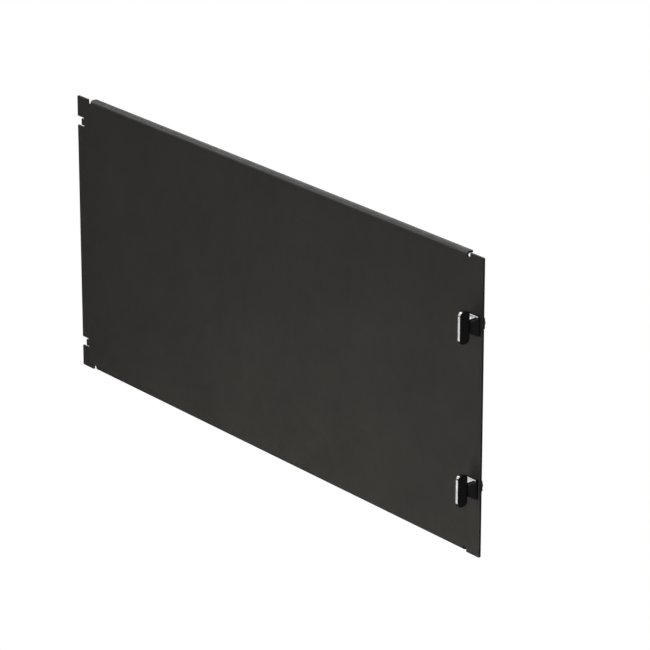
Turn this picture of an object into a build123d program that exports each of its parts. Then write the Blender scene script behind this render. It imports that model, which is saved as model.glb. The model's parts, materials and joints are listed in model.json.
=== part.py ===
from build123d import *
import os
from math import sqrt

# Rack blanking panel, five rack units tall, that fits a 19-inch rack without tools.
# A folded steel plate hooks behind the left rail and is held at the right rail by two thumb-turn latches.
# Frame: X to the right as seen from the front, Y towards the rack, Z up.
# The origin is at the middle of the plate's rear face, which seats towards the rack rails.

# Rack that the panel fits
UNIT_HEIGHT = 44.45
UNIT_COUNT = 5
FIRST_HOLE = 6.35
HOLE_COLUMN_SPACING = 465.1
RACK_HOLE = 9.525
RAIL_PAST_HOLES = 7.55
RAIL_THICKNESS = 2.5

# Plate
EAR_PAST_HOLES = 8.75
HEIGHT_ALLOWANCE = 0.75
SHEET = 1.5
BEND_INSIDE = 1.0
FLANGE_DEPTH = 5.6
FLANGE_CLEARANCE = 1.2
RELIEF_WIDTH = 3.5
RELIEF_PAST_BEND = 0.9
RELIEF_ROUND = 0.8
CORNER_ROUND = 0.8
STAND_OFF = 1.2

# Hooks bent back from the left ear, each through the middle rail hole of an end unit
TONGUE_HEIGHT = 5.0
LIP_INSET = 0.2
TONGUE_PLAY = 0.4
TONGUE_RELIEF = 1.25
LEG_CLEARANCE = 1.0
HOOK_CLEARANCE = 0.6

# Holes for the latches in the right ear, chamfered behind where the snap barbs seat
PANEL_HOLE_CLEARANCE = 0.25
PANEL_HOLE_ROUND = 0.5
PANEL_HOLE_CHAMFER = 0.45

# Latch housing
BEZEL_WIDTH = 13.0
BEZEL_HEIGHT = 14.6
BEZEL_THICKNESS = 1.5
BEZEL_ROUND = 1.6
BEZEL_EDGE = 0.5
SHANK_CLEARANCE = 0.11
SHANK_ROUND = 0.6
SHANK_SHORTFALL = 0.2
BARB_HEIGHT = 0.6
BARB_ROOT = 0.5
BARB_CLEARANCE = 0.08
SNAP_WIDTH = 3.6
SNAP_SLOT = 0.6
SNAP_START = 0.5

# Handle
SPINDLE_DIAMETER = 6.0
RUNNING_CLEARANCE = 0.05
HUB_GAP = 0.1
HUB_BACK_WIDTH = 12.4
HUB_BACK_HEIGHT = 14.0
HUB_FRONT_WIDTH = 5.2
HUB_FRONT_HEIGHT = 10.0
HUB_ROUND = 2.4
HUB_DEPTH = 3.75
BLADE_HEIGHT = 23.8
BLADE_DEPTH = 8.4
BLADE_THICKNESS = 2.5
BLADE_ROUND = 3.2
BLADE_EDGE = 0.2
BLADE_SEAT = 0.4

# Stop that limits the turn
TURN = 45.0
STOP_RADIUS = 5.2
STOP_LUG = 1.2
STOP_LUG_LENGTH = 0.7
STOP_SIDE_CLEARANCE = 0.12
STOP_FLOOR_CLEARANCE = 0.3

# Bowed spring washer under the hub
WASHER_OUTER = 8.0
WASHER_INNER = 6.5
WASHER_THICKNESS = 0.3
WASHER_BOW = 0.4
WASHER_SEAT = 0.02
RECESS_CLEARANCE = 0.15

# Cam and its screw
CAM_INSET = 0.05
CAM_ROUND = 0.6
CAM_WIDTH = 6.0
CAM_THICKNESS = 1.6
CAM_GAP = 0.4
DRIVE = 4.0
DRIVE_CLEARANCE = 0.05
DRIVE_SHORTFALL = 0.1
SCREW_DIAMETER = 2.5
SCREW_LENGTH = 6.5
SCREW_CLEARANCE = 0.04
SCREW_TIP_CLEARANCE = 0.4
SCREW_HEAD_DIAMETER = 4.8
SCREW_HEAD_HEIGHT = 1.3
SCREW_HEAD_EDGE = 0.4
CROSS_LENGTH = 2.6
CROSS_WIDTH = 0.6
CROSS_DEPTH = 0.8

# Extra length that carries a cut past the face it opens
CUT_PAST = 2.0

# Plate, worked out from the driving sizes
panel_height = UNIT_HEIGHT * UNIT_COUNT - HEIGHT_ALLOWANCE
column = HOLE_COLUMN_SPACING / 2
panel_edge = column + EAR_PAST_HOLES
flange_half = column - RAIL_PAST_HOLES - FLANGE_CLEARANCE
bend_outside = BEND_INSIDE + SHEET
relief_depth = bend_outside + RELIEF_PAST_BEND
front_face = -SHEET
rail_rear = STAND_OFF + RAIL_THICKNESS

# Hooks, worked out from the rail holes they pass
hook_hole = UNIT_HEIGHT * (UNIT_COUNT - 1) / 2
hook_row = hook_hole + RACK_HOLE / 2 - TONGUE_PLAY - TONGUE_HEIGHT / 2
leg_face = LEG_CLEARANCE - column - RACK_HOLE / 2
lip_front = rail_rear + HOOK_CLEARANCE

# Latches, worked out from the rail holes they lock in, each next to an end unit
latch_row = UNIT_HEIGHT * (UNIT_COUNT / 2 - 1) - FIRST_HOLE
shank_side = RACK_HOLE - 2 * SHANK_CLEARANCE
panel_hole = shank_side + 2 * PANEL_HOLE_CLEARANCE
cam_side = shank_side - 2 * CAM_INSET
bezel_front = front_face - BEZEL_THICKNESS
shank_rear = rail_rear - SHANK_SHORTFALL
hub_back = bezel_front - HUB_GAP
hub_front = hub_back - HUB_DEPTH
cam_front = rail_rear + CAM_GAP
cam_rear = cam_front + CAM_THICKNESS
bow_radius = WASHER_OUTER ** 2 / (8 * WASHER_BOW) + WASHER_BOW / 2
washer_depth = bow_radius - sqrt((bow_radius - WASHER_THICKNESS) ** 2 - (WASHER_OUTER / 2) ** 2)
recess_depth = washer_depth + 2 * WASHER_SEAT - HUB_GAP


def along_y(sketch, start, end):
    """Extrude a sketch, drawn as seen from the front, between two depths along Y."""
    plane = Plane(origin=(0, start, 0), x_dir=(1, 0, 0), z_dir=(0, -1, 0))
    return extrude(plane * sketch, amount=start - end)


def panel_section():
    """Cross-section of the face with its two return flanges, rounded at the bends."""
    outer = Pos(front_face + FLANGE_DEPTH / 2, 0) * Rectangle(FLANGE_DEPTH, panel_height)
    outer = fillet(outer.vertices().group_by(Axis.X)[0], bend_outside)
    inner_depth = FLANGE_DEPTH - SHEET + CUT_PAST
    inner = Pos(inner_depth / 2, 0) * Rectangle(inner_depth, panel_height - 2 * SHEET)
    inner = fillet(inner.vertices().group_by(Axis.X)[0], BEND_INSIDE)
    return outer - inner


def ear(side):
    """Flat end plate of full height, with rounded outer corners."""
    width = panel_edge - flange_half
    outline = Rectangle(width, panel_height)
    corners = outline.vertices().group_by(Axis.X)[-1 if side > 0 else 0]
    outline = fillet(corners, CORNER_ROUND)
    return along_y(Pos(side * (flange_half + width / 2), 0) * outline, front_face, 0)


def bend_relief(side, end):
    """Slot beside the end of a flange, which lets the flange fold without tearing the ear."""
    slot = RectangleRounded(RELIEF_WIDTH, 2 * relief_depth, RELIEF_ROUND)
    middle = flange_half + RELIEF_WIDTH / 2
    return along_y(Pos(side * middle, end * panel_height / 2) * slot, front_face - CUT_PAST, CUT_PAST)


def hook_notch():
    """Notch at the edge of the ear, deeper on each side of the tongue's root."""
    start = -panel_edge - CUT_PAST
    notch_width = leg_face - start
    notch = Pos(start + notch_width / 2, 0) * Rectangle(notch_width, TONGUE_HEIGHT + 2 * TONGUE_RELIEF)
    slot_width = notch_width + relief_depth
    for end in (-1, 1):
        height = end * (TONGUE_HEIGHT + TONGUE_RELIEF) / 2
        notch += Pos(start + slot_width / 2, height) * Rectangle(slot_width, TONGUE_RELIEF)
    return along_y(notch, front_face - CUT_PAST, CUT_PAST)


def hook_tongue():
    """Tongue that is bent back through the rail's hole and outwards behind the rail."""
    bend = BEND_INSIDE + SHEET / 2
    leg = leg_face + SHEET / 2
    root = leg_face + relief_depth
    tip = LIP_INSET - panel_edge
    lip = lip_front + SHEET / 2
    points = [(root, front_face / 2), (leg, front_face / 2), (leg, lip), (tip, lip)]
    strip = trace(FilletPolyline(*points, radius=bend), line_width=SHEET)
    return extrude(Plane.XY * strip, amount=TONGUE_HEIGHT / 2, both=True)


def latch_hole():
    """Square hole through the ear, with a chamfer round its rear edge."""
    hole = RectangleRounded(panel_hole, panel_hole, PANEL_HOLE_ROUND)
    wide_side = panel_hole + 2 * PANEL_HOLE_CHAMFER
    wide = RectangleRounded(wide_side, wide_side, PANEL_HOLE_ROUND + PANEL_HOLE_CHAMFER)
    rear = along_y(wide, -PANEL_HOLE_CHAMFER, CUT_PAST)
    rear = chamfer(rear.faces().sort_by(Axis.Y)[0].edges(), PANEL_HOLE_CHAMFER)
    return along_y(hole, front_face - CUT_PAST, CUT_PAST) + rear


def folded_panel():
    """The whole folded sheet: face, flanges, ears, hooks and latch holes."""
    sheet = extrude(Plane.YZ * panel_section(), amount=flange_half, both=True)
    for side in (-1, 1):
        sheet += ear(side)
        for end in (-1, 1):
            sheet -= bend_relief(side, end)
    for end in (-1, 1):
        sheet -= Pos(0, 0, end * hook_row) * hook_notch()
        sheet += Pos(0, 0, end * hook_row) * hook_tongue()
        sheet -= Pos(column, 0, end * latch_row) * latch_hole()
    return sheet


def snap_slots():
    """Pairs of slots that free a springy tongue in the top and bottom walls of the shank."""
    slots = Part()
    for side in (-1, 1):
        across = side * (SNAP_WIDTH + SNAP_SLOT) / 2
        slot = Pos(across, 0) * Rectangle(SNAP_SLOT, shank_side + CUT_PAST)
        slots += along_y(slot, front_face + SNAP_START, shank_rear + CUT_PAST)
    return slots


def barb(end):
    """Ramp on a snap tongue that seats on the hole's chamfer and sets the plate off from the rail."""
    wall = shank_side / 2
    root = wall - BARB_ROOT
    catch_root = BARB_CLEARANCE * sqrt(2) - PANEL_HOLE_CHAMFER - PANEL_HOLE_CLEARANCE
    catch_tip = catch_root + BARB_HEIGHT
    foot = STAND_OFF - BARB_CLEARANCE
    tip = wall + BARB_HEIGHT
    points = [(catch_root, root), (catch_root, wall), (catch_tip, tip), (foot, wall), (foot, root)]
    ramp = extrude(Plane.YZ * make_face(Polyline(*points, close=True)), amount=SNAP_WIDTH / 2, both=True)
    return ramp if end > 0 else mirror(ramp, about=Plane.XY)


def stop_groove():
    """Curved groove in the bezel's face in which the handle's stop lug runs."""
    radius = STOP_LUG / 2 + STOP_SIDE_CLEARANCE
    arc = CenterArc((0, 0), STOP_RADIUS, 90, TURN)
    groove = trace(arc, line_width=2 * radius)
    for point in (arc @ 0, arc @ 1):
        groove += Pos(point.X, point.Y) * Circle(radius)
    depth = STOP_LUG_LENGTH - HUB_GAP + STOP_FLOOR_CLEARANCE
    return along_y(groove, bezel_front - CUT_PAST, bezel_front + depth)


def latch_housing():
    """Bezel on the plate's face with a bored square shank through the plate and the rail."""
    bezel = along_y(RectangleRounded(BEZEL_WIDTH, BEZEL_HEIGHT, BEZEL_ROUND), bezel_front, front_face)
    bezel = chamfer(bezel.faces().sort_by(Axis.Y)[0].edges(), BEZEL_EDGE)
    shank = along_y(RectangleRounded(shank_side, shank_side, SHANK_ROUND), front_face, shank_rear)
    housing = bezel + shank - snap_slots()
    for end in (-1, 1):
        housing += barb(end)
    bore = Circle(SPINDLE_DIAMETER / 2 + RUNNING_CLEARANCE)
    housing -= along_y(bore, bezel_front - CUT_PAST, shank_rear + CUT_PAST)
    recess = Circle(WASHER_OUTER / 2 + RECESS_CLEARANCE)
    housing -= along_y(recess, bezel_front - CUT_PAST, bezel_front + recess_depth)
    housing -= stop_groove()
    return housing


def hub_outline(back_size, front_size):
    """Outline of the hub, with depth across and size upwards, which narrows towards the blade."""
    back, front = back_size / 2, front_size / 2
    points = [(hub_back, back), (hub_front, front), (hub_front, -front), (hub_back, -back)]
    return make_face(Polyline(*points, close=True))


def handle_hub():
    """Four-sided hub with rounded ridges, which has one outline from the side and one from above."""
    side_view = Plane.YZ * hub_outline(HUB_BACK_HEIGHT, HUB_FRONT_HEIGHT)
    top_view = Plane.YX * hub_outline(HUB_BACK_WIDTH, HUB_FRONT_WIDTH)
    tall = extrude(side_view, amount=HUB_BACK_WIDTH, both=True)
    wide = extrude(top_view, amount=HUB_BACK_HEIGHT, both=True)
    hub = tall & wide
    ridges = hub.edges().group_by(Axis.Y)[1]
    return fillet(ridges, HUB_ROUND)


def handle_blade():
    """Upright blade with rounded corners, which the fingers turn."""
    depth = BLADE_DEPTH + BLADE_SEAT
    outline = RectangleRounded(depth, BLADE_HEIGHT, BLADE_ROUND)
    middle = hub_front - BLADE_DEPTH + depth / 2
    blade = extrude(Plane.YZ * Pos(middle, 0) * outline, amount=BLADE_THICKNESS / 2, both=True)
    rims = blade.faces().group_by(Axis.X)[0].edges() + blade.faces().group_by(Axis.X)[-1].edges()
    return chamfer(rims, BLADE_EDGE)


def latch_handle():
    """Blade, hub, stop lug, spindle and square drive, moulded as one."""
    handle = handle_hub() + handle_blade()
    handle += along_y(Circle(SPINDLE_DIAMETER / 2), hub_back, cam_front)
    handle += along_y(Rectangle(DRIVE, DRIVE), cam_front, cam_rear - DRIVE_SHORTFALL)
    handle += along_y(Pos(0, STOP_RADIUS) * Circle(STOP_LUG / 2), hub_back, hub_back + STOP_LUG_LENGTH)
    bore_end = cam_rear - SCREW_LENGTH - SCREW_TIP_CLEARANCE
    handle -= along_y(Circle(SCREW_DIAMETER / 2 + SCREW_CLEARANCE), bore_end, cam_rear)
    return handle


def spring_washer():
    """Ring cut from a thin curved shell, its crest against the hub and its ends on the recess floor."""
    crest = hub_back + WASHER_SEAT
    ring = along_y(Circle(WASHER_OUTER / 2) - Circle(WASHER_INNER / 2), crest - CUT_PAST, crest + CUT_PAST)
    shell = Cylinder(bow_radius, WASHER_OUTER) - Cylinder(bow_radius - WASHER_THICKNESS, WASHER_OUTER)
    return ring & (Pos(0, crest + bow_radius, 0) * shell)


def cam():
    """Two-winged plate, cut from a square that fits the hole, whose wings lock above and below it."""
    plate = Rot(0, 0, TURN) * RectangleRounded(cam_side, cam_side, CAM_ROUND)
    plate &= Rectangle(CAM_WIDTH, 2 * cam_side)
    socket = Rectangle(DRIVE + 2 * DRIVE_CLEARANCE, DRIVE + 2 * DRIVE_CLEARANCE)
    return along_y(plate - socket, cam_front, cam_rear)


def cam_screw():
    """Pan-head screw that holds the cam on the spindle."""
    head = along_y(Circle(SCREW_HEAD_DIAMETER / 2), cam_rear, cam_rear + SCREW_HEAD_HEIGHT)
    head = chamfer(head.edges().sort_by(Axis.Y)[-1], SCREW_HEAD_EDGE)
    top = cam_rear + SCREW_HEAD_HEIGHT
    for size in ((CROSS_LENGTH, CROSS_WIDTH), (CROSS_WIDTH, CROSS_LENGTH)):
        head -= along_y(Rectangle(*size), top - CROSS_DEPTH, top + CUT_PAST)
    shank = along_y(Circle(SCREW_DIAMETER / 2), cam_rear - SCREW_LENGTH, cam_rear)
    return head + shank


def main():
    os.makedirs("parts", exist_ok=True)
    nodes = {"panel": folded_panel()}
    latch = {
        "latch_housing": latch_housing(),
        "latch_handle": latch_handle(),
        "spring_washer": spring_washer(),
        "locking_cam": cam(),
        "cam_screw": cam_screw(),
    }
    for row, end in (("upper", 1), ("lower", -1)):
        for name, solid in latch.items():
            nodes[row + "_" + name] = Pos(column, 0, end * latch_row) * solid
    for name, solid in nodes.items():
        export_step(solid, "parts/" + name + ".step")


main()
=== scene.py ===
import json
import math
import bpy
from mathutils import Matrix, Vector

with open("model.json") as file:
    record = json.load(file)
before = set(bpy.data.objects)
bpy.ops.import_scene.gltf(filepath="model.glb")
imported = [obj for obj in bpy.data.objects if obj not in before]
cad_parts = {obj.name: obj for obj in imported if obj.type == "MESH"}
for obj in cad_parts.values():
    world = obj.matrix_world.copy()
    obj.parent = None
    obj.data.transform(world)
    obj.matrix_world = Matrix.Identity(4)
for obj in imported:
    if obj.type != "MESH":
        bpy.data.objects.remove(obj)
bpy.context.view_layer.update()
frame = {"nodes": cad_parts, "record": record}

# Camera: angles in degrees, distances in metres, focal length in millimetres
AZIMUTH = 51.83
ELEVATION = 20.33
DISTANCE = 2.772
TARGET = Vector((0.0655, 0.0, 0.0111))
LENS = 213.06
FARTHEST_SEEN = 100.0

# Stage: a floor and the round wall at its rim, in metres
FLOOR_HEIGHT = -0.75
STAGE_RADIUS = 30.0
STAGE_SIDES = 64

# Faint light from all round
SURROUNDINGS_COLOUR = (1.0, 0.98, 0.95, 1.0)
SURROUNDINGS_STRENGTH = 0.07

# Points that the lights aim at, and how far the two end lights stand out, in metres
MIDDLE = (0.0, 0.0, 0.0)
TOP_EDGE = (0.0, 0.0, 0.1)
RIGHT_HALF = (0.1, 0.0, 0.0)
LATCHES = (0.233, -0.0155, 0.0)
END_DISTANCE = 2.2

# Span of noise values that a range or a tint is stretched over
NOISE_LOW = 0.3
NOISE_HIGH = 0.7

# Materials
COAT_SPECULAR = 0.075
BLACK = (0.0, 0.0, 0.0, 1.0)
WHITE = (1.0, 1.0, 1.0, 1.0)


def make_camera():
    """Long lens at the photograph's angle, to the right of the panel and above it."""
    data = bpy.data.cameras.new("camera")
    data.lens = LENS
    data.clip_end = FARTHEST_SEEN
    camera = bpy.data.objects.new("camera", data)
    bpy.context.scene.collection.objects.link(camera)
    azimuth, elevation = math.radians(AZIMUTH), math.radians(ELEVATION)
    level = math.cos(elevation)
    back = Vector((math.sin(azimuth) * level, -math.cos(azimuth) * level, math.sin(elevation)))
    camera.location = TARGET + back * DISTANCE
    camera.rotation_euler = (-back).to_track_quat("-Z", "Y").to_euler()
    bpy.context.scene.camera = camera


def shader(name):
    """New node material: its node tree and its surface shader."""
    material = bpy.data.materials.new(name)
    material.use_nodes = True
    tree = material.node_tree
    return material, tree, tree.nodes["Principled BSDF"]


def noise(tree, scale, detail=4.0, roughness=0.5):
    """Noise over the object's own coordinates, with a scale in features per metre."""
    place = tree.nodes.new("ShaderNodeTexCoord")
    texture = tree.nodes.new("ShaderNodeTexNoise")
    texture.inputs["Scale"].default_value = scale
    texture.inputs["Detail"].default_value = detail
    texture.inputs["Roughness"].default_value = roughness
    tree.links.new(place.outputs["Object"], texture.inputs["Vector"])
    return texture.outputs["Fac"]


def spread(tree, factor, low, high):
    """Map a noise value to a range."""
    node = tree.nodes.new("ShaderNodeMapRange")
    node.inputs["From Min"].default_value = NOISE_LOW
    node.inputs["From Max"].default_value = NOISE_HIGH
    node.inputs["To Min"].default_value = low
    node.inputs["To Max"].default_value = high
    tree.links.new(factor, node.inputs["Value"])
    return node.outputs["Result"]


def tint(tree, factor, dark, light):
    """Colour between two tones, by a noise value."""
    node = tree.nodes.new("ShaderNodeValToRGB")
    node.color_ramp.elements[0].position = NOISE_LOW
    node.color_ramp.elements[0].color = (*dark, 1.0)
    node.color_ramp.elements[1].position = NOISE_HIGH
    node.color_ramp.elements[1].color = (*light, 1.0)
    tree.links.new(factor, node.inputs["Fac"])
    return node.outputs["Color"]


def bump(tree, factor, strength, distance, under=None):
    """Bump from a height value, over another bump where one is given."""
    node = tree.nodes.new("ShaderNodeBump")
    node.inputs["Strength"].default_value = strength
    node.inputs["Distance"].default_value = distance
    tree.links.new(factor, node.inputs["Height"])
    if under is not None:
        tree.links.new(under, node.inputs["Normal"])
    return node.outputs["Normal"]


def finish_surface(tree, surface, colour, roughness, normal):
    """Give a surface its colour, its roughness and its bump."""
    tree.links.new(colour, surface.inputs["Base Color"])
    tree.links.new(roughness, surface.inputs["Roughness"])
    tree.links.new(normal, surface.inputs["Normal"])


def powder_coat():
    """Warm black powder coat: a fine pebbled skin, faintly mottled in tone and roughness."""
    material, tree, surface = shader("powder_coat")
    surface.inputs["Specular IOR Level"].default_value = COAT_SPECULAR
    mottle = noise(tree, scale=14.0, detail=8.0, roughness=0.8)
    colour = tint(tree, mottle, dark=(0.0100, 0.0094, 0.0081), light=(0.0156, 0.0147, 0.0127))
    roughness = spread(tree, noise(tree, scale=90.0), low=0.48, high=0.56)
    pebbles = noise(tree, scale=1400.0, detail=3.0)
    pebbled = bump(tree, pebbles, strength=0.8, distance=0.00010)
    waves = noise(tree, scale=320.0, detail=2.0)
    skin = bump(tree, waves, strength=0.35, distance=0.00010, under=pebbled)
    finish_surface(tree, surface, colour, roughness, skin)
    return material


def latch_plastic():
    """Glossy black moulded plastic with a faint ripple."""
    material, tree, surface = shader("latch_plastic")
    shades = noise(tree, scale=120.0)
    colour = tint(tree, shades, dark=(0.0045, 0.0045, 0.0050), light=(0.0075, 0.0075, 0.0080))
    roughness = spread(tree, noise(tree, scale=260.0), low=0.10, high=0.17)
    ripple = bump(tree, noise(tree, scale=500.0, detail=2.0), strength=0.12, distance=0.00005)
    finish_surface(tree, surface, colour, roughness, ripple)
    return material


def zinc_steel():
    """Zinc-plated steel with a fine satin grain."""
    material, tree, surface = shader("zinc_steel")
    surface.inputs["Metallic"].default_value = 1.0
    shades = noise(tree, scale=300.0)
    colour = tint(tree, shades, dark=(0.50, 0.51, 0.49), light=(0.66, 0.66, 0.62))
    roughness = spread(tree, noise(tree, scale=900.0), low=0.26, high=0.42)
    grain = bump(tree, noise(tree, scale=2500.0, detail=2.0), strength=0.25, distance=0.00003)
    finish_surface(tree, surface, colour, roughness, grain)
    return material


def black_steel():
    """Black-coated steel, satin, with a fine grain."""
    material, tree, surface = shader("black_steel")
    shades = noise(tree, scale=260.0)
    colour = tint(tree, shades, dark=(0.016, 0.016, 0.017), light=(0.026, 0.026, 0.027))
    roughness = spread(tree, noise(tree, scale=800.0), low=0.38, high=0.52)
    grain = bump(tree, noise(tree, scale=2200.0, detail=2.0), strength=0.25, distance=0.00003)
    finish_surface(tree, surface, colour, roughness, grain)
    return material


def dress_nodes():
    """Give every node the material of its slot in the record."""
    makers = {"powder_coat": powder_coat, "latch_plastic": latch_plastic,
              "zinc_steel": zinc_steel, "black_steel": black_steel}
    made = {slot: maker() for slot, maker in makers.items()}
    for part in frame["record"]["subparts"]:
        node = frame["nodes"][part["node"]]
        for slot in node.material_slots:
            slot.material = made[part["material_slot"]]


def make_stage():
    """Plain white floor inside a round wall far off, both seen by the camera alone."""
    turns = [math.tau * side / STAGE_SIDES for side in range(STAGE_SIDES)]
    low = [(STAGE_RADIUS * math.cos(turn), STAGE_RADIUS * math.sin(turn), 0.0) for turn in turns]
    high = [(x, y, STAGE_RADIUS) for x, y, _ in low]
    faces = [tuple(range(STAGE_SIDES))]
    for side in range(STAGE_SIDES):
        after = (side + 1) % STAGE_SIDES
        faces.append((after, side, STAGE_SIDES + side, STAGE_SIDES + after))
    mesh = bpy.data.meshes.new("floor")
    mesh.from_pydata(low + high, [], faces)
    floor = bpy.data.objects.new("floor", mesh)
    floor.location.z = FLOOR_HEIGHT
    floor.visible_diffuse = False
    floor.visible_glossy = False
    bpy.context.scene.collection.objects.link(floor)
    material, _, surface = shader("floor")
    surface.inputs["Base Color"].default_value = BLACK
    surface.inputs["Specular IOR Level"].default_value = 0.0
    surface.inputs["Emission Color"].default_value = WHITE
    surface.inputs["Emission Strength"].default_value = 1.0
    mesh.materials.append(material)


def softbox(name, place, aim, size, radiance, matt=True, gloss=True):
    """Rectangular light of a given radiance; it may leave out matt surfaces or reflections."""
    data = bpy.data.lights.new(name, "AREA")
    data.shape = "RECTANGLE"
    data.size, data.size_y = size
    data.energy = radiance * data.size * data.size_y * math.pi
    light = bpy.data.objects.new(name, data)
    light.location = place
    light.rotation_euler = (Vector(aim) - Vector(place)).to_track_quat("-Z", "Y").to_euler()
    light.visible_camera = False
    light.visible_diffuse = matt
    light.visible_glossy = gloss
    bpy.context.scene.collection.objects.link(light)


def light_surroundings():
    """Faint even light from all round."""
    world = bpy.data.worlds.new("surroundings")
    world.use_nodes = True
    background = world.node_tree.nodes["Background"]
    background.inputs["Color"].default_value = SURROUNDINGS_COLOUR
    background.inputs["Strength"].default_value = SURROUNDINGS_STRENGTH
    bpy.context.scene.world = world


def light_studio():
    """Softboxes, of which some are only mirrored and some light the matt coat alone."""
    # Only mirrored: the bright marks on the latches from the photograph's angle
    softbox("low_left", (-0.893, -0.964, -0.580), LATCHES,
            size=(0.16, 0.30), radiance=12.5, matt=False)
    softbox("left", (-1.694, -1.751, 0.250), LATCHES,
            size=(0.20, 1.40), radiance=12.0, matt=False)
    softbox("high_left", (-1.715, -1.050, 1.380), LATCHES,
            size=(1.90, 1.50), radiance=11.5, matt=False)
    softbox("high_side", (-1.580, -0.016, 1.570), LATCHES,
            size=(1.20, 0.60), radiance=20.0, matt=False)
    # From behind and above, for the top edge and the back
    softbox("back_left", (-1.515, 1.467, 0.742), LATCHES, size=(0.90, 1.00), radiance=5.0)
    softbox("above", (-0.4, 1.3, 1.6), TOP_EDGE, size=(1.2, 1.2), radiance=3.5)
    softbox("behind", (0.17, 2.0, 0.3), MIDDLE, size=(1.5, 1.5), radiance=10.0)
    # Close to the right half of the face, for the matt coat alone
    softbox("below", (0.10, -0.38, -0.38), RIGHT_HALF,
            size=(0.4, 0.2), radiance=24.0, gloss=False)
    softbox("right", (0.60, -0.50, 0.30), RIGHT_HALF,
            size=(0.3, 0.3), radiance=8.0, gloss=False)
    # Only mirrored: the latches from in front
    softbox("front", (0.30, -2.20, 0.60), MIDDLE,
            size=(2.0, 1.4), radiance=1.5, matt=False)
    softbox("low_front", (-0.07, -2.15, -0.45), LATCHES,
            size=(1.40, 0.45), radiance=3.0, matt=False)
    # Dim ones past both ends of the panel
    for name, side in {"left_end": -1, "right_end": 1}.items():
        softbox(name, (side * END_DISTANCE, 0.20, -0.40), MIDDLE, size=(1.20, 0.60), radiance=2.5)


make_camera()
dress_nodes()
make_stage()
light_surroundings()
light_studio()
bpy.context.scene.view_settings.view_transform = "Standard"
